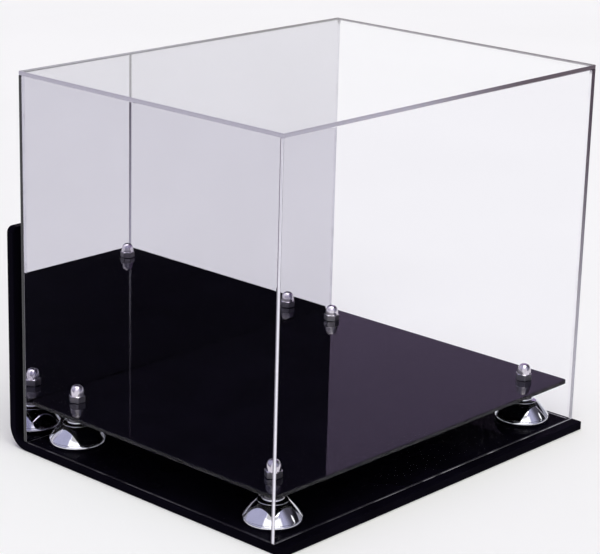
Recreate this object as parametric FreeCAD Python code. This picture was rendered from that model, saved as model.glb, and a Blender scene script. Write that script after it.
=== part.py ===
"""Acrylic display case: a lift-off clear cover with a mirrored back, standing on a black wall base.

The base is one black sheet bent into an L. A raised black plate stands over its floor on four bright
cone risers. A machine screw comes up through the base, each riser and the plate into an acorn nut.
Lengths are in millimetres. X runs along the wall, -Y faces the room, +Y faces the wall and Z is up.
The origin is the middle of the underside of the whole case.
"""
import FreeCAD, Part
import math
import os

Vec = FreeCAD.Vector
same_way = 1e-6

# Cover of glued flat sheets
cover_width = 338.0
cover_depth = 256.0
cover_height = 280.0
clear_sheet = 3.0
mirror_sheet = 3.0
cover_edge_round = 0.6

# Black base: floor, bend and wall leg
base_sheet = 6.35
side_margin = 1.0
front_margin = 8.5
leg_gap = 8.15
leg_height = 170.0
bend_clearance = 0.65
bend_stretch = 3.15
base_corner_radius = 0.9
leg_corner_radius = 4.8
base_edge_round = 0.5

# Screw holes through the wall leg
wall_hole_diameter = 5.2
wall_hole_spacing_across = 254.0
wall_hole_spacing_up = 80.0
wall_hole_top_margin = 25.0

# Raised plate
plate_sheet = 3.0
plate_clearance = 1.2
plate_corner_radius = 3.0
plate_edge_round = 0.4

# Cone risers
riser_height = 29.5
riser_edge_gap = 3.1
riser_rim_diameter = 41.8
riser_rim_bead = 0.75
riser_rim_height = 4.2
riser_cone_overhang = 0.6
riser_cone_foot_height = 4.75
riser_cone_top_diameter = 22.0
riser_cone_top_height = 16.0
riser_cone_bulge = 0.45
riser_lip = 0.6
riser_ledge = 2.1
riser_neck_fillet = 1.1
riser_seat_flange = 2.4
riser_seat_height = 2.5
riser_wall = 1.6

# Screws and acorn nuts, quarter inch thread
screw_diameter = 6.35
screw_head_diameter = 12.7
screw_head_angle = 82.0
screw_clearance = 0.25
screw_point_chamfer = 0.8
cross_recess_across = 7.4
cross_recess_tip = 2.6
cross_recess_slot = 1.7
cross_recess_depth = 2.9
thread_reach = 5.6
thread_clearance = 0.05
nut_across_flats = 11.11
nut_hex_height = 5.2
nut_shoulder = 0.4
nut_height = 12.7
nut_chamfer_angle = 30.0
nut_bore_spare = 1.0
nut_turns = {"front_left": 0.0, "front_right": -14.0, "back_left": -4.0, "back_right": 8.0}

# Places worked out from the sizes above
base_width = cover_width + 2 * side_margin
overall_depth = front_margin + cover_depth + leg_gap + base_sheet
base_front = -overall_depth / 2
base_rear = overall_depth / 2
cover_front = base_front + front_margin
cover_back = cover_front + cover_depth
leg_front = cover_back + leg_gap
bend_inner_radius = leg_gap - bend_clearance
bend_outer_radius = bend_inner_radius + base_sheet + bend_stretch

floor_top = base_sheet
cover_top = floor_top + cover_height
sheet_top = cover_top - clear_sheet
plate_bottom = floor_top + riser_height
plate_top = plate_bottom + plate_sheet

inside_front = cover_front + clear_sheet
inside_back = cover_back - mirror_sheet
plate_width = cover_width - 2 * (clear_sheet + plate_clearance)
plate_front = inside_front + plate_clearance
plate_back = inside_back - plate_clearance
riser_inset = riser_rim_diameter / 2 + riser_edge_gap
screw_length = plate_top + thread_reach
screw_hole_radius = screw_diameter / 2 + screw_clearance
head_depth = (screw_head_diameter - screw_diameter) / 2 / math.tan(math.radians(screw_head_angle / 2))

corners = {
    "front_left": (riser_inset - plate_width / 2, plate_front + riser_inset),
    "front_right": (plate_width / 2 - riser_inset, plate_front + riser_inset),
    "back_left": (riser_inset - plate_width / 2, plate_back - riser_inset),
    "back_right": (plate_width / 2 - riser_inset, plate_back - riser_inset),
}


def block(x_low, x_high, y_low, y_high, z_low, z_high):
    """Upright box between two corners."""
    return Part.makeBox(x_high - x_low, y_high - y_low, z_high - z_low, Vec(x_low, y_low, z_low))


def edges_along(shape, direction):
    """Straight edges of a shape that run along a direction."""
    straight = [edge for edge in shape.Edges if isinstance(edge.Curve, Part.Line)]
    return [edge for edge in straight if edge.Curve.Direction.cross(direction).Length < same_way]


def turned(profile, at):
    """Solid of revolution about an upright axis through a point, from a closed (radius, height) wire."""
    solid = Part.Face(profile).revolve(Vec(0, 0, 0), Vec(0, 0, 1), 360)
    solid.translate(at)
    return solid


def line(start, end):
    """Straight edge between two (radius, height) points of a profile."""
    return Part.makeLine(Vec(start[0], 0, start[1]), Vec(end[0], 0, end[1]))


def arc(start, middle, end):
    """Round edge through three (radius, height) points of a profile."""
    return Part.Arc(*(Vec(radius, 0, height) for radius, height in (start, middle, end))).toShape()


def on_circle(centre, radius, angle):
    """Point of a circle in a profile, at an angle in degrees."""
    turn = math.radians(angle)
    return (centre[0] + radius * math.cos(turn), centre[1] + radius * math.sin(turn))


def bent_sheet():
    """The L-shaped sheet: its side profile, drawn with the bend's two arcs, pushed across the width.

    Heating and bending stretches the outside of the sheet, so the outer arc is larger and has its
    own centre.
    """
    outer = (base_rear - bend_outer_radius, bend_outer_radius)
    inner = (leg_front - bend_inner_radius, floor_top + bend_inner_radius)
    points = [
        (base_front, 0),
        (outer[0], 0),
        on_circle(outer, bend_outer_radius, -45),
        (base_rear, outer[1]),
        (base_rear, leg_height),
        (leg_front, leg_height),
        (leg_front, inner[1]),
        on_circle(inner, bend_inner_radius, -45),
        (inner[0], floor_top),
        (base_front, floor_top),
    ]
    spots = [Vec(-base_width / 2, y, z) for y, z in points]
    wire = Part.Wire([
        Part.makeLine(spots[0], spots[1]),
        Part.Arc(spots[1], spots[2], spots[3]).toShape(),
        Part.makeLine(spots[3], spots[4]),
        Part.makeLine(spots[4], spots[5]),
        Part.makeLine(spots[5], spots[6]),
        Part.Arc(spots[6], spots[7], spots[8]).toShape(),
        Part.makeLine(spots[8], spots[9]),
        Part.makeLine(spots[9], spots[0]),
    ])
    return Part.Face(wire).extrude(Vec(base_width, 0, 0))


def rounded_base(sheet):
    """Rounds the floor's front corners and the leg's top corners."""
    across_floor = [e for e in edges_along(sheet, Vec(0, 0, 1)) if e.BoundBox.YMax < cover_front]
    sheet = sheet.makeFillet(base_corner_radius, across_floor)
    below_top = leg_height - base_sheet
    across_leg = [e for e in edges_along(sheet, Vec(0, 1, 0)) if e.BoundBox.ZMin > below_top]
    return sheet.makeFillet(leg_corner_radius, across_leg)


def countersunk_hole(at):
    """Cutter for one machine screw: a straight hole and the cone that its head lies in."""
    hole = Part.makeCylinder(screw_hole_radius, base_sheet, Vec(at[0], at[1], 0))
    cone = Part.makeCone(
        screw_head_diameter / 2 + screw_clearance,
        screw_hole_radius,
        head_depth,
        Vec(at[0], at[1], 0),
    )
    return hole.fuse(cone)


def wall_hole_places():
    """Places of the four wall screw holes on the leg, as (x, z)."""
    high = leg_height - wall_hole_top_margin
    return [
        (side * wall_hole_spacing_across / 2, level)
        for side in (-1, 1)
        for level in (high, high - wall_hole_spacing_up)
    ]


def wall_mount_base():
    """Black base with its screw holes and softened outer edges."""
    base = rounded_base(bent_sheet())
    base = base.makeFillet(base_edge_round, base.Edges)
    for at in corners.values():
        base = base.cut(countersunk_hole(at))
    for x, z in wall_hole_places():
        start = Vec(x, leg_front, z)
        base = base.cut(Part.makeCylinder(wall_hole_diameter / 2, base_sheet, start, Vec(0, 1, 0)))
    return base


def top_panel():
    """Clear top sheet, over the edges of the other four."""
    half = cover_width / 2
    sheet = block(-half, half, cover_front, cover_back, sheet_top, cover_top)
    rim = [e for e in sheet.Edges if e.BoundBox.ZMax > sheet_top + clear_sheet / 2]
    return sheet.makeFillet(cover_edge_round, rim)


def front_panel():
    """Clear front sheet, over the front edges of the side sheets."""
    half = cover_width / 2
    sheet = block(-half, half, cover_front, inside_front, floor_top, sheet_top)
    middle = cover_front + clear_sheet / 2
    outer = [e for e in edges_along(sheet, Vec(0, 0, 1)) if e.BoundBox.YMax < middle]
    return sheet.makeFillet(cover_edge_round, outer)


def side_panel(side):
    """Clear side sheet between the front sheet and the mirror: side -1 is left and 1 is right."""
    outer = side * cover_width / 2
    inner = outer - side * clear_sheet
    x_low = min(outer, inner)
    return block(x_low, x_low + clear_sheet, inside_front, inside_back, floor_top, sheet_top)


def mirror_back():
    """Mirrored back sheet, across the full width behind the side sheets."""
    half = cover_width / 2
    sheet = block(-half, half, inside_back, cover_back, floor_top, sheet_top)
    middle = cover_back - mirror_sheet / 2
    outer = [e for e in edges_along(sheet, Vec(0, 0, 1)) if e.BoundBox.YMin > middle]
    return sheet.makeFillet(cover_edge_round, outer)


def riser_plate():
    """Raised black plate with rounded corners and a hole over each riser."""
    half = plate_width / 2
    plate = block(-half, half, plate_front, plate_back, plate_bottom, plate_top)
    plate = plate.makeFillet(plate_corner_radius, edges_along(plate, Vec(0, 0, 1)))
    plate = plate.makeFillet(plate_edge_round, plate.Edges)
    for x, y in corners.values():
        plate = plate.cut(Part.makeCylinder(screw_hole_radius, plate_sheet, Vec(x, y, plate_bottom)))
    return plate


def riser(at):
    """Hollow bright riser: a rolled foot rim, a cone over it, a shoulder, then a neck to the plate.

    The cone's outside bulges a little and its inside is straight. The wall closes on the screw at the neck,
    which rises from a fillet on the shoulder to a flange under the plate.
    """
    rim = riser_rim_diameter / 2
    foot = rim - riser_rim_bead
    cone_foot = foot + riser_cone_overhang
    cone_top = riser_cone_top_diameter / 2
    lip_inside = cone_top - riser_lip
    neck_foot = lip_inside - riser_ledge
    neck = neck_foot - riser_neck_fillet
    seat = neck + riser_seat_flange
    bore = screw_hole_radius
    cone_run = (cone_foot - cone_top) / (riser_cone_top_height - riser_cone_foot_height)
    slant = math.hypot(1, cone_run)
    wall_across = riser_wall * slant
    cone_middle = (
        (cone_foot + cone_top) / 2 + riser_cone_bulge / slant,
        (riser_cone_foot_height + riser_cone_top_height) / 2 + riser_cone_bulge * cone_run / slant,
    )
    lip_top = riser_cone_top_height + riser_lip
    neck_start = lip_top + riser_neck_fillet
    seat_start = riser_height - riser_seat_height
    ceiling = riser_cone_top_height - riser_wall
    inside_at_ceiling = cone_top + cone_run * riser_wall - wall_across
    inside_rim = cone_foot - wall_across
    wire = Part.Wire([
        line((inside_rim, 0), (foot, 0)),
        arc((foot, 0), (rim, riser_rim_height / 2), (foot, riser_rim_height)),
        line((foot, riser_rim_height), (cone_foot, riser_cone_foot_height)),
        arc((cone_foot, riser_cone_foot_height), cone_middle, (cone_top, riser_cone_top_height)),
        arc(
            (cone_top, riser_cone_top_height),
            on_circle((lip_inside, riser_cone_top_height), riser_lip, 45),
            (lip_inside, lip_top),
        ),
        line((lip_inside, lip_top), (neck_foot, lip_top)),
        arc(
            (neck_foot, lip_top),
            on_circle((neck_foot, neck_start), riser_neck_fillet, 225),
            (neck, neck_start),
        ),
        line((neck, neck_start), (neck, seat_start)),
        line((neck, seat_start), (seat, seat_start)),
        line((seat, seat_start), (seat, riser_height)),
        line((seat, riser_height), (bore, riser_height)),
        line((bore, riser_height), (bore, ceiling)),
        line((bore, ceiling), (inside_at_ceiling, ceiling)),
        line((inside_at_ceiling, ceiling), (inside_rim, riser_cone_foot_height)),
        line((inside_rim, riser_cone_foot_height), (inside_rim, 0)),
    ])
    return turned(wire, Vec(at[0], at[1], floor_top))


def hexagon(across_flats, height):
    """Upright hexagonal prism about the origin, with two corners along X."""
    corner = across_flats / math.sqrt(3)
    spots = [Vec(*on_circle((0, 0), corner, 60 * k), 0) for k in range(7)]
    return Part.Face(Part.makePolygon(spots)).extrude(Vec(0, 0, height))


def acorn_nut(at, turn):
    """Acorn nut: a hexagon whose corners are chamfered into scallops, under a round closed dome.

    Each nut stays at the angle in degrees where it came tight.
    """
    corner = nut_across_flats / math.sqrt(3)
    dome = nut_across_flats / 2 - nut_shoulder
    bore = screw_diameter / 2 + thread_clearance
    chamfer = (corner - dome) * math.tan(math.radians(nut_chamfer_angle))
    dome_start = nut_height - dome
    skin = turned(
        Part.Wire([
            line((0, 0), (corner, 0)),
            line((corner, 0), (corner, nut_hex_height - chamfer)),
            line((corner, nut_hex_height - chamfer), (dome, nut_hex_height)),
            line((dome, nut_hex_height), (0, nut_hex_height)),
            line((0, nut_hex_height), (0, 0)),
        ]),
        Vec(0, 0, 0),
    )
    cap = turned(
        Part.Wire([
            line((0, 0), (dome, 0)),
            line((dome, 0), (dome, dome_start)),
            arc((dome, dome_start), on_circle((0, dome_start), dome, 45), (0, nut_height)),
            line((0, nut_height), (0, 0)),
        ]),
        Vec(0, 0, 0),
    )
    hole = Part.makeCylinder(bore, thread_reach + nut_bore_spare)
    nut = hexagon(nut_across_flats, nut_height).common(skin).fuse(cap).removeSplitter().cut(hole)
    nut.rotate(Vec(0, 0, 0), Vec(0, 0, 1), turn)
    nut.translate(Vec(at[0], at[1], plate_top))
    return nut


def cross_recess():
    """Cutter for the driver's cross: two slots whose ends slope in towards the driver's point."""
    reach = cross_recess_across / 2
    side = cross_recess_slot / 2
    one_way = block(-reach, reach, -side, side, 0, cross_recess_depth)
    other_way = block(-side, side, -reach, reach, 0, cross_recess_depth)
    point = Part.makeCone(reach, cross_recess_tip / 2, cross_recess_depth)
    return one_way.fuse(other_way).common(point)


def machine_screw(at):
    """Flat head machine screw with a cross recess, its head flush with the underside of the base."""
    head = screw_head_diameter / 2
    shank = screw_diameter / 2
    point = shank - screw_point_chamfer
    wire = Part.Wire([
        line((0, 0), (head, 0)),
        line((head, 0), (shank, head_depth)),
        line((shank, head_depth), (shank, screw_length - screw_point_chamfer)),
        line((shank, screw_length - screw_point_chamfer), (point, screw_length)),
        line((point, screw_length), (0, screw_length)),
        line((0, screw_length), (0, 0)),
    ])
    screw = turned(wire, Vec(0, 0, 0)).cut(cross_recess())
    screw.translate(Vec(at[0], at[1], 0))
    return screw


def make_all():
    """Every piece of the case by the name of its node."""
    pieces = {
        "wall_mount_base": wall_mount_base(),
        "top_panel": top_panel(),
        "front_panel": front_panel(),
        "left_panel": side_panel(-1),
        "right_panel": side_panel(1),
        "mirror_back": mirror_back(),
        "riser_plate": riser_plate(),
    }
    for corner, at in corners.items():
        pieces["riser_" + corner] = riser(at)
        pieces["acorn_nut_" + corner] = acorn_nut(at, nut_turns[corner])
        pieces["machine_screw_" + corner] = machine_screw(at)
    return pieces


os.makedirs("parts", exist_ok=True)
for name, shape in make_all().items():
    shape.exportStep("parts/" + name + ".step")
    box = shape.optimalBoundingBox(False)
    print(name, len(shape.Solids), "solid", round(shape.Volume / 1000, 2), "cm3", shape.isValid(),
          [round(v, 2) for v in (box.XMin, box.XMax, box.YMin, box.YMax, box.ZMin, box.ZMax)])
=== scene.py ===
import math

import bmesh
import bpy
import numpy as np
from mathutils import Matrix, Vector


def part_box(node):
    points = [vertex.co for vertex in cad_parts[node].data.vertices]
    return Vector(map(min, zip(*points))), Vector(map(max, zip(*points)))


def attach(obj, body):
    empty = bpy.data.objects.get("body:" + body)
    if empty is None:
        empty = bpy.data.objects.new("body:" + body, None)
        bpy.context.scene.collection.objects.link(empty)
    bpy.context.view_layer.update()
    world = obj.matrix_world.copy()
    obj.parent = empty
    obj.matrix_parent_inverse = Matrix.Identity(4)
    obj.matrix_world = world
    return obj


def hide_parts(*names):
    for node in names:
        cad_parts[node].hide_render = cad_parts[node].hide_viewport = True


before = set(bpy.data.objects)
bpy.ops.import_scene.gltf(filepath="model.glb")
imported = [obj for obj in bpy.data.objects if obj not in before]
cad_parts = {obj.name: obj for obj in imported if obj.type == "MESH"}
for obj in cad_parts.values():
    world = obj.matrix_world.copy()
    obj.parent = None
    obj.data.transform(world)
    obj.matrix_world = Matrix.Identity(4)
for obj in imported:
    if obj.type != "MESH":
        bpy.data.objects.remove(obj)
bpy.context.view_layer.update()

CORNERS = ("front_left", "front_right", "back_left", "back_right")

# Axes, the two ends of an axis, and the material slots of a sheet
X, Y, Z = range(3)
LOW, HIGH = range(2)
HIGH_FACE, LOW_FACE, OPEN_EDGE, CEMENTED, SEATED = range(5)

# Name of the layer that tells how far across a sheet's edge a point lies
EDGE_LAYER = "edge_across"

# Points round a riser or a nut, and the distance in metres within which points are welded
AROUND = 240
WELD = 1e-7

# The photograph's view: the camera's place in metres, its angles in degrees and its picture's width in mm
CAMERA_PLACE = (-1.0952, -0.9892, 0.58145)
CAMERA_AZIMUTH, CAMERA_ELEVATION, CAMERA_ROLL = -47.75, 17.10, 1.52
PICTURE_WIDTH = 36.0

bl_info = {
    "name": "Acrylic display case",
    "version": (1, 0, 0),
    "blender": (4, 5, 0),
    "location": "View3D > Sidebar > Display Case",
    "description": "Sheets, bright fittings and finishes of a clear display case on a black wall base",
    "category": "Object",
}


def length(name, description, default):
    """A size in metres that a user may change."""
    return bpy.props.FloatProperty(
        name=name, description=description, default=default, min=0.0, precision=5,
        subtype="DISTANCE", unit="LENGTH")


def colour(name, description, default):
    """A colour that a user may change."""
    return bpy.props.FloatVectorProperty(
        name=name, description=description, default=default, min=0.0, max=1.0, size=3, subtype="COLOR")


def share(name, description, default, most=1.0):
    """A plain number from nothing up to a most."""
    return bpy.props.FloatProperty(name=name, description=description, default=default, min=0.0, max=most)


class CaseCoverSettings(bpy.types.PropertyGroup):
    """Sizes and colours of the clear cover and its mirror."""
    arris: length("Arris", "Rounding of every polished sheet edge", 0.00035)
    outline_corner: length("Outline corner", "Rounding of the corners of each sheet's outline", 0.0006)
    seam: length("Seam", "Thickness of the cement between two sheets", 0.00003)
    clear: colour("Clear sheet", "What the clear acrylic lets through", (0.985, 0.985, 0.995))
    # The polished edges are painted with light and shade: painted light at the left and near the base, a
    # painted grey middle near the top, and painted shade at the right and near the top
    edge_painted_light: colour("Edge", "Polished edges, at the left and near the base", (0.95, 0.935, 0.985))
    edge_grey: colour("Edge, middle", "Middle of the polished edges near the top", (0.48, 0.46, 0.53))
    edge_painted_shade: colour("Edge, dusk", "Polished edges, at the right and near the top", (0.115, 0.088, 0.105))
    edge_line: colour("Edge line", "Arrises and polishing marks of the edges", (0.12, 0.10, 0.14))
    # The pale line beside the feet is a painted highlight in the edge's painted light colour
    seat: colour("Seat", "Saw-cut feet, beside their pale line", (0.008, 0.007, 0.011))
    cement: colour("Cement", "What the glued joints let through", (0.93, 0.92, 0.95))
    # Painted shade on the glued joints at the top and to the right
    cement_painted_shade: colour("Cement, dusk", "The same at the top and to the right", (0.13, 0.115, 0.145))
    mirror: colour("Mirror", "Colour of the silvering", (0.70, 0.69, 0.74))
    paint: colour("Mirror back", "Paint over the silvering", (0.035, 0.034, 0.040))
    scuff: colour("Scuff", "Scuffs in that paint", (0.2, 0.2, 0.21))
    cut_dark: colour("Cut edge", "Cut edge of the mirror", (0.006, 0.006, 0.008))
    cut_pale: colour("Saw marks", "Saw marks on the mirror's cut edge", (0.016, 0.015, 0.019))
    cut_line: colour("Cut line", "Line along the mirror's front arris", (0.35, 0.34, 0.37))
    top_bend: share("Top bend", "Bending power of the top sheet", 1.15, 2.0)
    wall_bend: share("Wall bend", "Bending power of the upright clear sheets", 1.015, 2.0)
    cement_bend: share("Cement bend", "Bending power of the glued joints", 1.01, 2.0)
    edge_bend: share("Edge bend", "Bending power of the polished edges and feet", 1.2, 2.0)
    coat_bend: share("Mirror bend", "Bending power of the clear sheet over the silvering", 1.3, 2.0)


class CaseStandSettings(bpy.types.PropertyGroup):
    """Sizes and colours of the base, the plate, the risers, the nuts and the screws."""
    black: colour("Black acrylic", "Body colour of the base and the plate", (0.0021, 0.0017, 0.0038))
    dust: colour("Dust", "Colour of the specks that lie on the black", (0.42, 0.41, 0.44))
    chrome: colour("Chrome", "Bright plate of the risers", (0.80, 0.80, 0.85))
    nut_plate: colour("Nut plate", "Bright plate of the acorn nuts", (0.66, 0.62, 0.68))
    # Painted shade on the riser's neck, close under the plate; the nuts' duller, darker hexagon uses the same
    # slot
    dull_and_shade_colour: colour("Film", "Dull chrome of the riser's neck, close under the plate", (0.115, 0.11, 0.125))
    zinc: colour("Zinc", "Plate of the machine screws", (0.56, 0.57, 0.60))
    worn_zinc: colour("Worn zinc", "The same where it is worn", (0.36, 0.35, 0.33))
    base_bend: share("Base bend", "Bending power of the base's gloss", 1.04, 2.0)
    plate_bend: share("Plate bend", "Bending power of the plate's gloss", 1.35, 2.0)
    base_gloss: share("Base gloss", "Strength of the base's gloss", 0.3)
    plate_gloss: share("Plate gloss", "Strength of the plate's gloss", 0.6)
    rim_bead: length("Rim bead", "How far the riser's rolled rim bulges", 0.00075)
    rim_height: length("Rim height", "Height of the riser's rolled rim", 0.0042)
    overhang: length("Overhang", "How far the cone's foot stands out over the ends of the rim", 0.0006)
    cone_foot: length("Cone foot", "Height of the cone's lower edge", 0.00475)
    cone_top: length("Cone top", "Radius at the top of the riser's cone", 0.011)
    cone_height: length("Cone height", "Height of the riser's cone", 0.016)
    bulge: length("Bulge", "How far the cone's outside bulges", 0.00045)
    lip: length("Lip", "Height and width of the beaded step over the top of the cone", 0.0006)
    ledge: length("Ledge", "Width of the shoulder round the neck", 0.0021)
    fillet: length("Fillet", "Hollow rounding at the foot of the neck", 0.0011)
    flange: length("Flange", "How far the flange under the plate stands out from the neck", 0.0024)
    seat_height: length("Seat height", "Height of the flange under the plate", 0.0025)
    wall: length("Wall", "Thickness of the riser's metal", 0.0016)
    bore: length("Bore", "Radius of the riser's screw hole", 0.003425)
    nut_flats: length("Nut flats", "Width of an acorn nut across its flats", 0.01111)
    nut_hex: length("Nut hexagon", "Height of an acorn nut's hexagon", 0.0052)
    nut_taper: share("Nut taper", "How much the nut's dome narrows towards its top", 0.10)
    nut_shoulder: length("Nut shoulder", "Step from the flats to the dome", 0.00012)
    nut_thread: length("Nut thread", "Radius of the nut's threaded hole", 0.003225)
    nut_depth: length("Nut depth", "Depth of the nut's threaded hole", 0.0066)


class CaseStageSettings(bpy.types.PropertyGroup):
    """Floor, room, lamps and camera."""
    floor: colour("Floor", "Colour of the pale floor", (0.97, 0.975, 0.935))
    sweep: colour("Sweep", "White ring of the room near the floor", (1.0, 1.0, 1.0))
    side_sweep: colour("Sweep, sides", "The same ring to the camera's left and right", (0.35, 0.35, 0.40))
    left_wall: colour("Wall, left", "Room over the sweep, to the camera's left", (0.47, 0.47, 0.63))
    right_wall: colour("Wall, right", "Room over the sweep, to the camera's right", (0.085, 0.08, 0.10))
    far_wall: colour("Wall, far", "Room over the sweep, behind the case", (0.37, 0.285, 0.46))
    near_wall: colour("Wall, near", "Room over the sweep, behind the camera", (0.80, 0.80, 0.88))
    shade: colour("Shade", "Dark patch between the soft box and the ceiling", (0.02, 0.02, 0.03))
    ceiling: colour("Ceiling", "Room overhead", (0.55, 0.55, 0.58))
    lamp_tint: colour("Lamp tint", "Colour of both lamps", (1.0, 0.99, 0.95))
    soft_box: share("Soft box", "Brightness of the white box above the camera", 1.35, 10.0)
    top_lamp: share("Top lamp", "Strength of the wide lamp overhead", 1.35, 10.0)
    fill_lamp: share("Fill lamp", "Strength of the lamp behind the camera", 0.35, 10.0)
    lens: share("Lens", "Focal length in millimetres on a 36 mm wide picture", 124.33, 400.0)


def soften(corners, cuts, steps, closed=False):
    """Rows of a profile whose corners are rounded.

    A corner P between Q and R becomes the curve (1-t)^2 A + 2t(1-t) P + t^2 B, where A and B lie a cut's
    length from P towards Q and R, or 0.45 of the shorter side if that is less. One more row close outside A
    and B keeps the flats flat. A corner with no cut stays sharp. corners has the shape (n, ..., 2).
    """
    corners = np.asarray(corners, float)
    count = len(corners)
    most, outside = 0.45, 1.1
    t = np.linspace(0, 1, steps).reshape((-1,) + (1,) * (corners.ndim - 1))
    rows = []
    for i, cut in enumerate(cuts):
        here = corners[i][None]
        if cut == 0 or (not closed and i in (0, count - 1)):
            rows.append(here)
            continue
        back, on = corners[i - 1][None] - here, corners[(i + 1) % count][None] - here
        before, after = (np.linalg.norm(side, axis=-1, keepdims=True) for side in (back, on))
        reach = np.minimum(cut, most * np.minimum(before, after))
        back, on = reach * back / before, reach * on / after
        curve = here + (1 - t) ** 2 * back + t ** 2 * on
        rows.append(np.concatenate([here + outside * back, curve, here + outside * on]))
    return np.concatenate(rows)


def spun(profile, at, steps):
    """Grid of a (radius, height) profile carried round an upright axis: at + (r cos a, r sin a, h)."""
    angle = np.linspace(0, 2 * np.pi, steps, endpoint=False)
    radius, height = profile[..., 0], profile[..., 1]
    if profile.ndim == 2:
        radius, height = radius[:, None], height[:, None]
    level = np.broadcast_to(height, (len(profile), steps))
    return np.stack([radius * np.cos(angle) + at[0], radius * np.sin(angle) + at[1], level + at[2]], axis=-1)


def grid_quads(rows, columns, closed):
    """Corner numbers of a grid's quads. Its columns always meet, and its rows do if it is closed."""
    row = np.arange(rows if closed else rows - 1)[:, None]
    column = np.arange(columns)[None, :]
    up, on = (row + 1) % rows, (column + 1) % columns
    quads = [row * columns + column, row * columns + on, up * columns + on, up * columns + column]
    return np.stack(quads, axis=-1).reshape(-1, 4)


def sheet_outline(half, corner, steps):
    """Rounded rectangle: the centre of each corner's arc, and the direction out of it, for every point."""
    turn = np.arange(4)[:, None] * np.pi / 2 + np.linspace(0, np.pi / 2, steps)[None, :]
    side = np.array([(1, 1), (-1, 1), (-1, -1), (1, -1)], float)
    centre = np.repeat(side * (np.asarray(half) - corner), steps, axis=0)
    return centre, np.stack([np.cos(turn), np.sin(turn)], axis=-1).reshape(-1, 2)


def sheet_grid(low, high, thin, arris, corner, steps=5):
    """Grid of a flat sheet's edge: two quarter rounds of radius arris, carried round the sheet's outline.

    At an angle t of the first round, the profile is in by arris (1 - sin t) and down by arris (1 - cos t).
    """
    low, high = np.asarray(low, float), np.asarray(high, float)
    across, up = (thin + 1) % 3, (thin + 2) % 3
    middle, half = (low + high) / 2, (high - low) / 2
    t = np.linspace(0, np.pi / 2, steps)
    inset = arris * (1 - np.sin(t))
    depth = arris * (1 - np.cos(t))
    inset = np.concatenate([inset, inset[::-1]])
    depth = np.concatenate([high[thin] - depth, low[thin] + depth[::-1]])
    centre, out = sheet_outline((half[across], half[up]), corner, steps)
    flat = centre[None] + (corner - inset)[:, None, None] * out[None]
    grid = np.empty(flat.shape[:2] + (3,))
    grid[..., across] = flat[..., 0] + middle[across]
    grid[..., up] = flat[..., 1] + middle[up]
    grid[..., thin] = depth[:, None]
    return grid


def add_piece(name, grid, faces, slots, smooth, body, nodes, finishes, across=None):
    """Makes one finished piece from its vertices and faces, at the origin, riding on its body."""
    mesh = bpy.data.meshes.new(name)
    mesh.from_pydata(grid.reshape(-1, 3).tolist(), [], [list(face) for face in faces])
    mesh.polygons.foreach_set("material_index", np.asarray(slots, np.int32))
    mesh.polygons.foreach_set("use_smooth", np.asarray(smooth, bool))
    for finish in finishes:
        mesh.materials.append(finish)
    if across is not None:
        layer = mesh.attributes.new(EDGE_LAYER, "FLOAT", "POINT")
        layer.data.foreach_set("value", np.asarray(across, np.float32).ravel())
    tidy = bmesh.new()
    tidy.from_mesh(mesh)
    bmesh.ops.remove_doubles(tidy, verts=tidy.verts, dist=WELD)
    bmesh.ops.recalc_face_normals(tidy, faces=tidy.faces)
    tidy.to_mesh(mesh)
    tidy.free()
    if mesh.validate():
        raise RuntimeError(name + " came out with broken faces")
    piece = bpy.data.objects.new(name, mesh)
    bpy.context.scene.collection.objects.link(piece)
    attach(piece, body)
    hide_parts(*nodes)
    return piece


def edge_slots(rows, columns, thin, joined, seated):
    """Slot of every quad of a sheet's edge: open, cemented to another sheet, or seated on the base.

    Only the flat of a seated edge is seated, and its arrises count as cemented. An arc at a corner of the
    outline takes the lower slot of the two sides next to it, so it is open if either side is.
    """
    across, up = (thin + 1) % 3, (thin + 2) % 3
    sides = [(up, HIGH), (across, LOW), (up, LOW), (across, HIGH)]
    kinds = [CEMENTED if side in joined else SEATED if side in seated else OPEN_EDGE for side in sides]
    kind = np.array(kinds)
    steps = columns // 4
    column = np.arange(columns)
    corner = column // steps
    straight = column % steps == steps - 1
    slot = np.where(straight, kind[corner], np.minimum(kind[corner], kind[(corner + 3) % 4]))
    slots = np.tile(slot, (rows - 1, 1))
    flat = np.arange(rows - 1)[:, None] == rows // 2 - 1
    return np.where((slots == SEATED) & ~flat, CEMENTED, slots).ravel().tolist()


def add_sheet(name, node, thin, joined, seated, look, finishes):
    """One flat sheet of the cover: its two faces and its edge, in the place of a node.

    joined and seated list the (axis, end) sides that are cemented to another sheet or stand on the base.
    They stand back by the seam.
    """
    low, high = (np.array(corner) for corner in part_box(node))
    for axis, end in joined + seated:
        (low, high)[end][axis] += (look.seam, -look.seam)[end]
    grid = sheet_grid(low, high, thin, look.arris, look.outline_corner)
    rows, columns = grid.shape[:2]
    edge = grid_quads(rows, columns, False).tolist()
    faces = edge + [list(range(columns)), list(range((rows - 1) * columns, rows * columns))[::-1]]
    slots = edge_slots(rows, columns, thin, joined, seated) + [HIGH_FACE, LOW_FACE]
    smooth = [True] * len(edge) + [False, False]
    across = (high[thin] - grid[..., thin]) / (high[thin] - low[thin])
    return add_piece(name, grid, faces, slots, smooth, "cover", [node], finishes, across)


def add_bright(name, grid, closed, node, finish):
    """One spun piece of bright metal, in the place of a node."""
    quads = grid_quads(*grid.shape[:2], closed)
    slots, smooth = [0] * len(quads), [True] * len(quads)
    return add_piece(name, grid, quads, slots, smooth, "base", [node], [finish])


def start_finish(name):
    """A new material, with its node tree and its one Principled shader."""
    finish = bpy.data.materials.new(name)
    finish.use_nodes = True
    return finish, finish.node_tree, finish.node_tree.nodes["Principled BSDF"]


def feed(node, inputs):
    """Feeds a shader node's inputs, by name or place, from a socket or a plain value."""
    for key, value in inputs.items():
        if isinstance(value, bpy.types.NodeSocket):
            node.id_data.links.new(value, node.inputs[key])
        else:
            node.inputs[key].default_value = value


def put(tree, kind, inputs, **options):
    """Adds a shader node, sets its options and feeds its inputs."""
    made = tree.nodes.new("ShaderNode" + kind)
    for option, value in options.items():
        setattr(made, option, value)
    feed(made, inputs)
    return made.outputs


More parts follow.
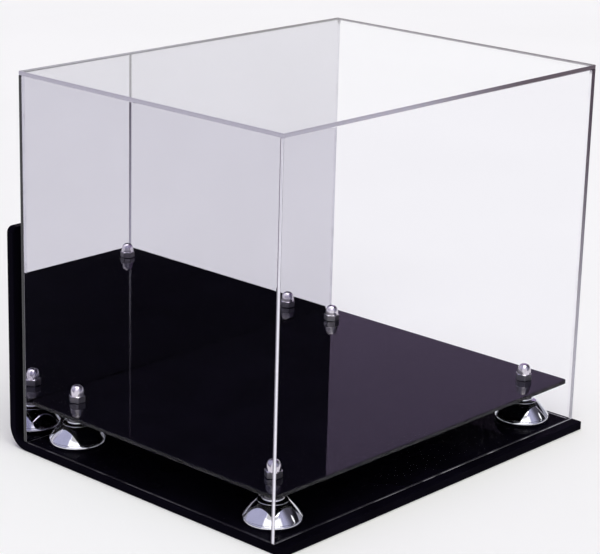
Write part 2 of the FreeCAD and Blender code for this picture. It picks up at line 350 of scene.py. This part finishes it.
def place(tree, scale=(1, 1, 1), turn=0.0):
    """Object coordinates, stretched and then turned about the upright axis for a pattern."""
    where = put(tree, "TexCoord", {})["Object"]
    if scale == (1, 1, 1) and turn == 0.0:
        return where
    return put(tree, "Mapping", {"Vector": where, "Scale": scale, "Rotation": (0, 0, turn)})[0]


def part(tree, where, axis):
    """One coordinate of a place."""
    return put(tree, "SeparateXYZ", {0: where})[axis]


def edge_across(tree):
    """How far across a sheet's edge a point lies: 0 at the sheet's high face and 1 at its low one."""
    return put(tree, "Attribute", {}, attribute_name=EDGE_LAYER)["Fac"]


def clouds(tree, where, scale, detail=2.0):
    """Soft uneven patches, about 1/scale metres across."""
    return put(tree, "TexNoise", {"Vector": where, "Scale": scale, "Detail": detail})["Fac"]


def ramp(tree, value, low, high, to_low=0.0, to_high=1.0):
    """A value taken smoothly from one range to another."""
    feeds = {"Value": value, "From Min": low, "From Max": high, "To Min": to_low, "To Max": to_high}
    return put(tree, "MapRange", feeds, interpolation_type="SMOOTHSTEP")[0]


def patches(tree, where, scale, detail, spread, to=(0.0, 1.0)):
    """Clouds whose values in a spread are taken to a range."""
    return ramp(tree, clouds(tree, where, scale, detail), *spread, *to)


def sums(tree, operation, first, second):
    """One sum on two values."""
    return put(tree, "Math", {0: first, 1: second}, operation=operation)[0]


def times(tree, first, second):
    """The product of two values."""
    return sums(tree, "MULTIPLY", first, second)


def larger(tree, first, second):
    """The larger of two values."""
    return sums(tree, "MAXIMUM", first, second)


def tint(tree, factor, first, second):
    """A colour between two others."""
    ends = [shade if isinstance(shade, bpy.types.NodeSocket) else (*shade, 1.0) for shade in (first, second)]
    return put(tree, "Mix", {0: factor, 6: ends[0], 7: ends[1]}, data_type="RGBA")[2]


def scaled(shade, by):
    """A colour made darker or lighter."""
    return [channel * by for channel in shade]


def relief(tree, height, strength, depth):
    """Normals of a fine relief of a depth in metres."""
    return put(tree, "Bump", {"Height": height, "Strength": strength, "Distance": depth})[0]


def specks(tree, where, scale, size, kept):
    """Small round specks, each full in its middle, in a random share of scattered cells."""
    cells = put(tree, "TexVoronoi", {"Vector": where, "Scale": scale})
    full = size * 0.4
    spot = ramp(tree, cells["Distance"], size, full)
    pick = put(tree, "SeparateColor", {0: cells["Color"]})
    return times(tree, spot, ramp(tree, pick[0], 1 - kept, 1.0))


def hairlines(tree, turn, scale=1.0):
    """Fine wiping scratches side by side along X, broken up along their length.

    Another turn gives other scratches in the same direction.
    """
    close, long = 1400 * scale, 9 * scale
    line = patches(tree, place(tree, (close, long, long), turn), 1.0, 0.0, spread=(0.735, 0.77))
    broken = patches(tree, place(tree), 35.0, 1.0, spread=(0.5, 0.62))
    return times(tree, line, broken)


def black_acrylic_finish(look, name, bend, gloss):
    """Cast black acrylic: deep gloss with a faint ripple, wiping scratches, hand haze and fine dust."""
    finish, tree, shader = start_finish(name)
    where = place(tree)
    coarse = specks(tree, where, 190.0, size=0.035, kept=0.15)
    dust = larger(tree, coarse, specks(tree, where, 620.0, size=0.06, kept=0.05))
    wiped = larger(tree, hairlines(tree, 0.5), hairlines(tree, -0.9))
    cloud = patches(tree, where, 26.0, 2.0, spread=(0.3, 0.7))
    shade = tint(tree, cloud, look.black, scaled(look.black, 1.5))
    haze = patches(tree, where, 17.0, 4.0, spread=(0.42, 0.75), to=(0.012, 0.045))
    haze = sums(tree, "ADD", haze, times(tree, wiped, 0.012))
    feed(shader, {
        "Base Color": tint(tree, times(tree, dust, 0.2), shade, look.dust),
        "Roughness": larger(tree, haze, times(tree, dust, 0.8)),
        "Normal": relief(tree, clouds(tree, where, 22.0), strength=0.35, depth=0.00004),
        "IOR": bend,
        "Specular Tint": (gloss, gloss, gloss, 1.0),
    })
    return finish


def let_through(tree, shader, clear):
    """Sends lamp rays and stray light straight through a clear shader."""
    path = put(tree, "LightPath", {})
    through = put(tree, "BsdfTransparent", {"Color": (*clear, 1.0)})[0]
    stray = put(tree, "MixShader", {0: path["Is Diffuse Ray"], 1: shader.outputs[0], 2: through})[0]
    lamps = put(tree, "MixShader", {0: path["Is Shadow Ray"], 1: stray, 2: through})[0]
    feed(tree.nodes["Material Output"], {"Surface": lamps})


def clear_acrylic_finish(look, name, bend):
    """Clear acrylic sheet: bends light a little, and lets lamps and stray light straight through."""
    finish, tree, shader = start_finish(name)
    wiped = larger(tree, hairlines(tree, 0.35, 0.8), hairlines(tree, 1.3, 0.8))
    smear = patches(tree, place(tree), 9.0, 5.0, spread=(0.55, 0.8))
    mark = sums(tree, "ADD", times(tree, wiped, 0.08), times(tree, smear, 0.006))
    feed(shader, {
        "Base Color": tint(tree, mark, look.clear, scaled(look.clear, 0.86)),
        "Transmission Weight": 1.0,
        "Roughness": 0.0,
        "IOR": bend,
        "Specular Tint": (0.0, 0.0, 0.0, 1.0),
    })
    let_through(tree, shader, look.clear)
    return finish


def painted_shade(tree, where, rightward, upward):
    """Masks of the painted shade on an edge or joint of the cover: to the right at any height, and to the
    right near the top.

    rightward and upward each give the shares of the cover's reach between which the painted shade comes up.
    """
    reach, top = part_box("front_panel")[1][0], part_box("top_panel")[1][2]
    right = ramp(tree, part(tree, where, X), rightward[0] * reach, rightward[1] * reach)
    high = ramp(tree, part(tree, where, Z), upward[0] * top, upward[1] * top)
    return right, times(tree, right, high)


def cement_finish(look):
    """Glued joint of two clear sheets: small bubbles, greyer runs of cement, and painted shade at the top
    right.
    """
    finish, tree, shader = start_finish("clear_cement_joint")
    where = place(tree)
    run = patches(tree, where, 60.0, 3.0, spread=(0.45, 0.7), to=(0.0, 0.5))
    mark = larger(tree, run, specks(tree, where, 420.0, size=0.22, kept=0.3))
    shade = tint(tree, mark, look.cement, scaled(look.cement, 0.8))
    # Painted shade on the joint at the top right
    _, shadow = painted_shade(tree, where, rightward=(0.0, 0.8), upward=(0.97, 0.985))
    feed(shader, {
        "Base Color": tint(tree, shadow, shade, look.cement_painted_shade),
        "Transmission Weight": 1.0,
        "Roughness": 0.0,
        "IOR": look.cement_bend,
    })
    let_through(tree, shader, look.cement)
    return finish


def clear_edge_finish(look):
    """Polished edge of the clear sheet: painted light beside a greyer painted middle, and painted shade at
    the top right.

    The arrises are darker lines, and fine polishing marks are scattered over the edge.
    """
    finish, tree, shader = start_finish("clear_acrylic_edge")
    where = place(tree)
    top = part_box("top_panel")[1][2]
    height = part(tree, where, Z)
    middle_line = 0.66
    off = sums(tree, "SUBTRACT", edge_across(tree), middle_line)
    off = put(tree, "Math", {0: off}, operation="ABSOLUTE")[0]
    middle = times(tree, ramp(tree, off, 0.17, 0.04), ramp(tree, height, 0.45 * top, 0.95 * top))
    roof = ramp(tree, height, 0.986 * top, 0.9895 * top)
    # Painted pale light, going grey in the middle of the edges high up and on the top sheet's edge
    pale = tint(tree, larger(tree, middle, roof), look.edge_painted_light, look.edge_grey)
    right, shadow = painted_shade(tree, where, rightward=(-0.47, 0.59), upward=(-0.25, 0.95))
    # Painted shade to the right and near the top
    painted_light = tint(tree, shadow, pale, look.edge_painted_shade)
    strength = ramp(tree, larger(tree, roof, right), 0.0, 1.0, 0.8, 0.15)
    line = times(tree, ramp(tree, off, 0.25, 0.32), strength)
    marks = patches(tree, where, 420.0, 2.0, spread=(0.4, 0.75), to=(0.0, 0.12))
    feed(shader, {
        "Base Color": tint(tree, larger(tree, line, marks), painted_light, look.edge_line),
        "Roughness": patches(tree, where, 300.0, 2.0, spread=(0.3, 0.7), to=(0.06, 0.16)),
        "IOR": look.edge_bend,
    })
    return finish


def seat_finish(look):
    """Saw-cut foot of a clear sheet: a broken painted highlight along its outer half, where it stands on the
    base.

    The painted highlight is fainter to the left.
    """
    finish, tree, shader = start_finish("clear_acrylic_seat")
    where = place(tree)
    low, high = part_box("front_panel")
    side = ramp(tree, part(tree, where, X), low[0], high[0], 0.18, 0.8)
    line = ramp(tree, edge_across(tree), 0.58, 0.70)
    broken = patches(tree, where, 55.0, 3.0, spread=(0.38, 0.58), to=(0.12, 0.85))
    # Painted highlight line along the foot, fainter to the left
    painted_light = times(tree, times(tree, line, broken), side)
    feed(shader, {
        "Base Color": tint(tree, painted_light, look.seat, look.edge_painted_light),
        "Roughness": patches(tree, where, 300.0, 2.0, spread=(0.3, 0.7), to=(0.3, 0.5)),
        "IOR": look.edge_bend,
    })
    return finish


def mirror_face_finish(look):
    """Silvered acrylic seen through its own clear face, with the slight ripple of rolled sheet."""
    finish, tree, shader = start_finish("mirror_acrylic_face")
    where = place(tree)
    cloud = patches(tree, where, 7.0, 3.0, spread=(0.35, 0.7))
    feed(shader, {
        "Base Color": tint(tree, cloud, look.mirror, scaled(look.mirror, 0.965)),
        "Roughness": patches(tree, where, 12.0, 5.0, spread=(0.5, 0.8), to=(0.004, 0.02)),
        "Normal": relief(tree, clouds(tree, where, 16.0), strength=0.3, depth=0.00002),
        "Metallic": 1.0,
        "Coat Weight": 0.6,
        "Coat Roughness": 0.0,
        "Coat IOR": look.coat_bend,
    })
    return finish


def mirror_paint_finish(look):
    """Dark protective paint on the mirror's back, rolled on, with a slight stipple and scuffs."""
    finish, tree, shader = start_finish("mirror_back_paint")
    where = place(tree)
    cloud = patches(tree, where, 30.0, 5.0, spread=(0.3, 0.72))
    scuffs = larger(tree, hairlines(tree, 0.2, 0.5), hairlines(tree, -0.6, 0.5))
    shade = tint(tree, cloud, look.paint, scaled(look.paint, 1.7))
    feed(shader, {
        "Base Color": tint(tree, times(tree, scuffs, 0.12), shade, look.scuff),
        "Roughness": ramp(tree, cloud, 0.0, 1.0, 0.42, 0.58),
        "Normal": relief(tree, clouds(tree, where, 900.0, 3.0), strength=0.4, depth=0.00006),
    })
    return finish


def mirror_edge_finish(look):
    """Cut edge of the mirror: nearly black, with saw marks and a thin grey line at its front arris."""
    finish, tree, shader = start_finish("mirror_cut_edge")
    line = times(tree, ramp(tree, edge_across(tree), 0.93, 0.97), 0.5)
    saw = patches(tree, place(tree), 700.0, 2.0, spread=(0.35, 0.7))
    shade = tint(tree, saw, look.cut_dark, look.cut_pale)
    feed(shader, {
        "Base Color": tint(tree, line, shade, look.cut_line),
        "Roughness": ramp(tree, saw, 0.0, 1.0, 0.12, 0.3),
    })
    return finish


def chrome_finish(name, plate, dull_and_shade_colour, rough, dull_and_shade_from, dull_and_shade_to):
    """Bright plate: a clean mirror with faint turned rings and the odd fingerprint haze.

    From the first height to the second it fades to a darker colour and grows rougher. On the riser's neck
    under the plate this is painted shade; on the nut's hexagon it is a duller plate, painted a little darker.
    """
    finish, tree, shader = start_finish(name)
    where = place(tree)
    cloud = patches(tree, where, 160.0, 3.0, spread=(0.35, 0.7))
    bright = tint(tree, cloud, plate, scaled(plate, 0.95))
    # Painted shade on the riser's neck; a duller plate painted darker on the nut's hexagon
    dull_and_shade = ramp(tree, part(tree, where, Z), dull_and_shade_from, dull_and_shade_to)
    haze = patches(tree, where, 90.0, 4.0, spread=(0.5, 0.8), to=(0.015, 0.07))
    rings = clouds(tree, place(tree, (1, 1, 2600)), 1.0, 1.0)
    feed(shader, {
        "Base Color": tint(tree, dull_and_shade, bright, dull_and_shade_colour),
        "Roughness": sums(tree, "ADD", haze, times(tree, dull_and_shade, rough)),
        "Normal": relief(tree, rings, strength=0.08, depth=0.00002),
        "Metallic": 1.0,
    })
    return finish


def zinc_finish(look):
    """Zinc plated steel: grey, mottled by its crystals, a little rough."""
    finish, tree, shader = start_finish("zinc_plated_steel")
    where = place(tree)
    cells = put(tree, "TexVoronoi", {"Vector": where, "Scale": 1800.0})
    grain = put(tree, "SeparateColor", {0: cells["Color"]})[0]
    shade = tint(tree, grain, scaled(look.zinc, 0.82), look.zinc)
    worn = patches(tree, where, 350.0, 4.0, spread=(0.45, 0.75))
    feed(shader, {
        "Base Color": tint(tree, worn, shade, look.worn_zinc),
        "Roughness": ramp(tree, grain, 0.0, 1.0, 0.24, 0.42),
        "Normal": relief(tree, worn, strength=0.25, depth=0.00005),
        "Metallic": 1.0,
    })
    return finish


def wear(node, finish):
    """Gives a node that stays on show its finish."""
    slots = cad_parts[node].data.materials
    slots.clear()
    slots.append(finish)


class CASE_OT_clear_sheets(bpy.types.Operator):
    """Cuts the four clear sheets of the cover and polishes their edges"""
    bl_idname = "display_case.clear_sheets"
    bl_label = "Clear sheets"

    def execute(self, context):
        look = context.scene.case_cover
        roof = clear_acrylic_finish(look, "clear_acrylic_top", look.top_bend)
        wall = clear_acrylic_finish(look, "clear_acrylic_wall", look.wall_bend)
        edges = [clear_edge_finish(look), cement_finish(look), seat_finish(look)]
        foot, under_top, ends = [(Z, LOW)], [(Z, HIGH)], [(Y, LOW), (Y, HIGH)]
        sheets = (
            ("top", Z, [], [], roof),
            ("front", Y, under_top, foot, wall),
            ("left", X, under_top + ends, foot, wall),
            ("right", X, under_top + ends, foot, wall),
        )
        for name, thin, joined, seated, face in sheets:
            piece, node, finishes = "clear_sheet_" + name, name + "_panel", [face, face] + edges
            add_sheet(piece, node, thin, joined, seated, look, finishes)
        return {"FINISHED"}


class CASE_OT_mirror(bpy.types.Operator):
    """Cuts the mirrored back sheet: silvered face, cut edge and painted back"""
    bl_idname = "display_case.mirror"
    bl_label = "Mirror back"

    def execute(self, context):
        look = context.scene.case_cover
        edge = mirror_edge_finish(look)
        finishes = [mirror_paint_finish(look), mirror_face_finish(look), edge, edge, edge]
        joined, seated = [(Z, HIGH)], [(Z, LOW)]
        add_sheet("mirror_sheet", "mirror_back", Y, joined, seated, look, finishes)
        return {"FINISHED"}


class CASE_OT_black_sheets(bpy.types.Operator):
    """Finishes the bent base and the raised plate in black acrylic"""
    bl_idname = "display_case.black_sheets"
    bl_label = "Black base and plate"

    def execute(self, context):
        look = context.scene.case_stand
        base = black_acrylic_finish(look, "black_acrylic_base", look.base_bend, look.base_gloss)
        plate = black_acrylic_finish(look, "black_acrylic_plate", look.plate_bend, look.plate_gloss)
        wear("wall_mount_base", base)
        wear("riser_plate", plate)
        return {"FINISHED"}


class CASE_OT_risers(bpy.types.Operator):
    """Spins the four bright cone risers"""
    bl_idname = "display_case.risers"
    bl_label = "Cone risers"

    def execute(self, context):
        look = context.scene.case_stand
        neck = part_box("riser_front_left")[0].z + look.cone_height + look.lip + look.fillet
        # Close under the plate the neck is painted dark, as painted shade
        dull_and_shade_from, dull_and_shade_to = neck - 0.0002, neck + 0.0004
        finish = chrome_finish("bright_chrome_riser", look.chrome, look.dull_and_shade_colour, 0.0, dull_and_shade_from, dull_and_shade_to)
        for corner in CORNERS:
            node = "riser_" + corner
            low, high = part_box(node)
            profile, cuts = self.profile(look, (high.x - low.x) / 2, high.z - low.z)
            at = ((low.x + high.x) / 2, (low.y + high.y) / 2, low.z)
            grid = spun(soften(profile, cuts, 7, closed=True), at, AROUND)
            add_bright("cone_" + node, grid, True, node, finish)
        return {"FINISHED"}

    def profile(self, look, rim, height):
        """Corners of the riser's section and how much each is rounded.

        The rolled rim and the cone's outside are arcs over a chord, from the arched helper. The lip over the
        cone starts with an eighth of a circle, and the neck rises from a hollow quarter circle.
        """
        foot = rim - look.rim_bead
        rolled = self.arched((foot, 0), (foot, look.rim_height), look.rim_bead)
        cone_foot = foot + look.overhang
        run = (cone_foot - look.cone_top) / (look.cone_height - look.cone_foot)
        wall = look.wall * math.hypot(1, run)
        ceiling, shoulder = look.cone_height - look.wall, look.cone_height + look.lip
        neck_foot = look.cone_top - look.lip - look.ledge
        neck = neck_foot - look.fillet
        seat, under_seat = neck + look.flange, height - look.seat_height
        cone = self.arched((cone_foot, look.cone_foot), (look.cone_top, look.cone_height), look.bulge)
        t = np.linspace(0, math.pi / 2, 9)
        bead = look.lip / 2 * np.stack([np.cos(t / 2) - 1, np.sin(t / 2)], axis=-1)[1:]
        lip_end = (look.cone_top - look.lip, shoulder)
        lip = np.concatenate([bead + (look.cone_top, look.cone_height), [lip_end]])
        hollow = look.fillet * np.stack([-np.sin(t), 1 - np.cos(t)], axis=-1) + (neck_foot, shoulder)
        above = [
            (neck, under_seat), (seat, under_seat), (seat, height), (look.bore, height), (look.bore, ceiling),
            (look.cone_top + run * look.wall - wall, ceiling), (cone_foot - wall, look.cone_foot),
            (cone_foot - wall, 0),
        ]
        arcs = np.concatenate([rolled, cone, lip, hollow])
        neck_cut, cut, bore_cut = 4e-4, 3e-4, 2e-4
        cuts = [0] * len(arcs) + [neck_cut, cut, cut, bore_cut, bore_cut, cut, cut, cut]
        return np.concatenate([arcs, above]), cuts

    def arched(self, low, high, bulge):
        """Arc from low to high that bulges b outwards over its chord c, of radius (c^2 / 4 + b^2) / 2b.

        One more row close to each end keeps the shading of its neighbour off the arc.
        """
        low, high = np.array(low), np.array(high)
        chord = high - low
        span = math.hypot(*chord)
        out = np.array([chord[1], -chord[0]]) / span
        radius = (span ** 2 / 4 + bulge ** 2) / (2 * bulge)
        rows = np.concatenate([[-1], np.linspace(-0.99, 0.99, 17), [1]])
        t = rows[:, None] * math.asin(span / 2 / radius)
        middle = (low + high) / 2 + out * (bulge - radius)
        return middle + radius * (np.cos(t) * out + np.sin(t) * chord / span)


class CASE_OT_acorn_nuts(bpy.types.Operator):
    """Makes the four acorn nuts: a scalloped hexagon under a closed dome"""
    bl_idname = "display_case.acorn_nuts"
    bl_label = "Acorn nuts"

    def execute(self, context):
        look = context.scene.case_stand
        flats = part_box("acorn_nut_front_left")[0].z + look.nut_hex
        # Below the hexagon's top the plate is duller and rougher, and painted a little darker as painted
        # shade
        dull_and_shade_from, dull_and_shade_to = flats - 0.0001, flats - 0.0006
        dull_and_shade_colour = scaled(look.nut_plate, 0.7)
        finish = chrome_finish("bright_chrome_nut", look.nut_plate, dull_and_shade_colour, 0.28, dull_and_shade_from, dull_and_shade_to)
        turns = {"front_left": 0.0, "front_right": -14.0, "back_left": -4.0, "back_right": 8.0}
        for corner in CORNERS:
            node = "acorn_nut_" + corner
            low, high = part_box(node)
            at = ((low.x + high.x) / 2, (low.y + high.y) / 2, low.z)
            grid = spun(self.profile(look, high.z - low.z, math.radians(turns[corner])), at, AROUND)
            add_bright("dome_" + node, grid, False, node, finish)
        return {"FINISHED"}

    def profile(self, look, height, turn):
        """Profile at every angle: a hexagon's radius with softened corners, cut by a 30 degree chamfer cone.

        The hexagon is half its flats over the sum of cos(angle to each flat)^p, to the power 1/p. The dome is
        the curve |r|^3 + |z|^3 = 1, drawn in towards its top by the taper.
        """
        # Sharpness of the hexagon, and the chamfers at the mouth of the thread and at the foot
        power = 60
        mouth = 0.0003
        foot_in, foot_up = 0.0006, 0.00045
        # Start of the dome, and the roundings of the corners
        dome_in, dome_up = 0.994, 0.0003
        fine, flats_cut, dome_cut = 1e-4, 1.6e-4, 2.2e-4
        angle = np.linspace(0, 2 * np.pi, AROUND, endpoint=False) - turn
        flats = np.radians(30 + 60 * np.arange(6))[:, None]
        hexagon = look.nut_flats / 2 / (np.maximum(np.cos(angle - flats), 0) ** power).sum(0) ** (1 / power)
        dome = look.nut_flats / 2 - look.nut_shoulder
        slope = math.tan(math.radians(30))
        even = np.ones_like(hexagon)
        top = look.nut_hex - (hexagon - dome) * slope
        points = [
            (0 * even, look.nut_depth * even), (look.nut_thread * even, look.nut_depth * even),
            (look.nut_thread * even, mouth * even), ((look.nut_thread + mouth) * even, 0 * even),
            (hexagon - foot_in, 0 * even), (hexagon, foot_up * even), (hexagon, top),
            (dome * even, look.nut_hex * even), (dome * dome_in * even, (look.nut_hex + dome_up) * even),
        ]
        corners = np.array([np.stack(point, axis=-1) for point in points])
        rows = soften(corners, [0, fine, fine, fine, fine, fine, flats_cut, dome_cut, 0], 6)
        t = np.linspace(0, np.pi / 2, 48)[4:, None]
        rise = np.sin(t) ** (2 / 3)
        side = np.maximum(np.cos(t), 0) ** (2 / 3) * (1 - look.nut_taper * rise)
        cap = np.stack([dome * side * even, look.nut_hex + (height - look.nut_hex) * rise * even], axis=-1)
        return np.concatenate([rows, cap])


class CASE_OT_screws(bpy.types.Operator):
    """Finishes the four machine screws in zinc plate"""
    bl_idname = "display_case.screws"
    bl_label = "Machine screws"

    def execute(self, context):
        finish = zinc_finish(context.scene.case_stand)
        for corner in CORNERS:
            wear("machine_screw_" + corner, finish)
        return {"FINISHED"}


class CASE_OT_stage(bpy.types.Operator):
    """Sets the pale floor, the room, two soft lamps and the camera"""
    bl_idname = "display_case.stage"
    bl_label = "Stage"

    def execute(self, context):
        look = context.scene.case_stage
        self.floor(look)
        self.room(look)
        self.lamp(look, "top_lamp", look.top_lamp, azimuth=-20.0, elevation=78.0, spread=45.0)
        self.lamp(look, "fill_lamp", look.fill_lamp, azimuth=-48.0, elevation=45.0, spread=50.0)
        self.camera(look)
        context.scene.view_settings.view_transform = "Standard"
        context.scene.cycles.max_bounces = 24
        context.scene.cycles.transmission_bounces = 24
        context.scene.cycles.glossy_bounces = 8
        context.scene.cycles.transparent_max_bounces = 32
        return {"FINISHED"}

    def floor(self, look):
        """Round floor: rings (r cos a, r sin a, -sink) round a small disc, out to ten metres."""
        sink, around = 0.0002, 96
        radius = np.geomspace(0.05, 10.0, 24)
        grid = spun(np.stack([radius, 0 * radius - sink], axis=-1), (0, 0, 0), around)
        quads = grid_quads(*grid.shape[:2], False).tolist() + [list(range(around))]
        mesh = bpy.data.meshes.new("pale_floor")
        mesh.from_pydata(grid.reshape(-1, 3).tolist(), [], quads)
        tidy = bmesh.new()
        tidy.from_mesh(mesh)
        bmesh.ops.recalc_face_normals(tidy, faces=tidy.faces)
        if sum(face.normal.z for face in tidy.faces) < 0:
            bmesh.ops.reverse_faces(tidy, faces=tidy.faces)
        tidy.to_mesh(mesh)
        tidy.free()
        finish, tree, shader = start_finish("pale_paper_floor")
        cloud = patches(tree, place(tree), 3.0, 3.0, spread=(0.3, 0.7))
        feed(shader, {
            "Base Color": tint(tree, cloud, look.floor, scaled(look.floor, 0.985)),
            "Roughness": 0.9,
            "Specular IOR Level": 0.1,
        })
        mesh.materials.append(finish)
        floor = bpy.data.objects.new("pale_floor", mesh)
        bpy.context.scene.collection.objects.link(floor)

    def room(self, look):
        """Room light by direction: a sweep over the floor, walls on four sides, and a ceiling.

        Above the camera there is a soft box with a dark patch over it, and to the right a small lamp. The
        ranges are of up, the sine of a direction's height, or of its cosine to an azimuth.
        """
        sweep_top, dim_top, ceiling_foot = (0.235, 0.29), (0.40, 0.55), (0.86, 0.95)
        box_foot, box_top, shade_foot = (0.58, 0.66), (0.80, 0.75), (0.75, 0.81)
        small_lamp, small_lamp_edge = (0.677, -0.558, 0.480), (0.9970, 0.9985)
        white = [look.soft_box] * 3
        world = bpy.data.worlds.new("room")
        bpy.context.scene.world = world
        world.use_nodes = True
        tree = world.node_tree
        ray = put(tree, "TexCoord", {})["Generated"]
        up = part(tree, ray, Z)
        level = put(tree, "VectorMath", {0: ray, 1: (1, 1, 0)}, operation="MULTIPLY")[0]
        level = put(tree, "VectorMath", {0: level}, operation="NORMALIZE")[0]

        def along(direction, ahead):
            """Cosine of the angle between two directions."""
            return put(tree, "VectorMath", {0: direction, 1: ahead}, operation="DOT_PRODUCT")["Value"]

        def towards(turn, low, high):
            """How far a direction lies towards the camera's azimuth, turned on by some degrees."""
            azimuth = math.radians(CAMERA_AZIMUTH + turn)
            return ramp(tree, along(level, (math.sin(azimuth), -math.cos(azimuth), 0)), low, high)

        dim_wall = tint(tree, ramp(tree, up, *dim_top), scaled(look.right_wall, 0.15), look.right_wall)
        wall = tint(tree, towards(120.0, 0.45, 0.88), look.left_wall, dim_wall)
        far = towards(180.0, 0.75, 0.93)
        wall = tint(tree, far, wall, look.far_wall)
        near = towards(2.0, 0.70, 0.79)
        below_box_top = ramp(tree, up, *box_top)
        wall = tint(tree, times(tree, near, below_box_top), wall, look.near_wall)
        shade = times(tree, towards(0.0, 0.82, 0.89), ramp(tree, up, *shade_foot))
        wall = tint(tree, shade, wall, look.shade)
        wall = tint(tree, ramp(tree, up, *ceiling_foot), wall, look.ceiling)
        box = times(tree, near, ramp(tree, up, *box_foot))
        wall = tint(tree, times(tree, box, below_box_top), wall, white)
        wall = tint(tree, ramp(tree, along(ray, small_lamp), *small_lamp_edge), wall, white)
        sweep = tint(tree, larger(tree, far, near), look.side_sweep, look.sweep)
        feed(tree.nodes["Background"], {"Color": tint(tree, ramp(tree, up, *sweep_top), sweep, wall)})

    def outward(self, azimuth, elevation):
        """Direction from the case at an azimuth and an elevation. Azimuth 0 is the front and 90 the right."""
        turn, tilt = math.radians(azimuth), math.radians(elevation)
        return Vector((math.sin(turn) * math.cos(tilt), -math.cos(turn) * math.cos(tilt), math.sin(tilt)))

    def lamp(self, look, name, strength, azimuth, elevation, spread):
        """A distant soft lamp that bright surfaces don't show."""
        lamp = bpy.data.lights.new(name, "SUN")
        lamp.energy = strength
        lamp.color = look.lamp_tint
        lamp.angle = math.radians(spread)
        made = bpy.data.objects.new(name, lamp)
        made.rotation_euler = self.outward(azimuth, elevation).to_track_quat("Z", "Y").to_euler()
        made.visible_glossy = False
        bpy.context.scene.collection.objects.link(made)

    def camera(self, look):
        """The photograph's view, along the camera's azimuth and elevation and with a slight roll."""
        azimuth, roll = math.radians(CAMERA_AZIMUTH), math.radians(CAMERA_ROLL)
        back = self.outward(CAMERA_AZIMUTH, CAMERA_ELEVATION)
        level = Vector((math.cos(azimuth), math.sin(azimuth), 0))
        upright = back.cross(level)
        right = level * math.cos(roll) + upright * math.sin(roll)
        up = upright * math.cos(roll) - level * math.sin(roll)
        lens = bpy.data.cameras.new("camera")
        lens.lens, lens.sensor_width = look.lens, PICTURE_WIDTH
        lens.clip_start, lens.clip_end = 0.05, 100.0
        camera = bpy.data.objects.new("camera", lens)
        turn = Matrix((right, up, back)).transposed().to_4x4()
        camera.matrix_world = Matrix.Translation(CAMERA_PLACE) @ turn
        bpy.context.scene.collection.objects.link(camera)
        bpy.context.scene.camera = camera


OPERATORS = (
    CASE_OT_black_sheets, CASE_OT_risers, CASE_OT_acorn_nuts, CASE_OT_screws,
    CASE_OT_clear_sheets, CASE_OT_mirror, CASE_OT_stage,
)


class CASE_PT_sidebar(bpy.types.Panel):
    """The case's pieces and their sizes and colours"""
    bl_idname = "CASE_PT_sidebar"
    bl_label = "Display Case"
    bl_space_type = "VIEW_3D"
    bl_region_type = "UI"
    bl_category = "Display Case"

    def draw(self, context):
        for operator in OPERATORS:
            self.layout.operator(operator.bl_idname)
        for settings in (context.scene.case_cover, context.scene.case_stand, context.scene.case_stage):
            box = self.layout.box()
            for name in settings.__annotations__:
                box.prop(settings, name)


SETTINGS = {"case_cover": CaseCoverSettings, "case_stand": CaseStandSettings, "case_stage": CaseStageSettings}


def register():
    """Adds the settings, the operators and the sidebar panel."""
    for name, group in SETTINGS.items():
        bpy.utils.register_class(group)
        setattr(bpy.types.Scene, name, bpy.props.PointerProperty(type=group))
    for shown in OPERATORS + (CASE_PT_sidebar,):
        bpy.utils.register_class(shown)


def unregister():
    """Takes them away again."""
    for shown in reversed(OPERATORS + (CASE_PT_sidebar,)):
        bpy.utils.unregister_class(shown)
    for name, group in SETTINGS.items():
        delattr(bpy.types.Scene, name)
        bpy.utils.unregister_class(group)


def main():
    """Makes every piece in order."""
    register()
    for operator in OPERATORS:
        group, action = operator.bl_idname.split(".")
        getattr(getattr(bpy.ops, group), action)()


if __name__ == "__main__":
    main()
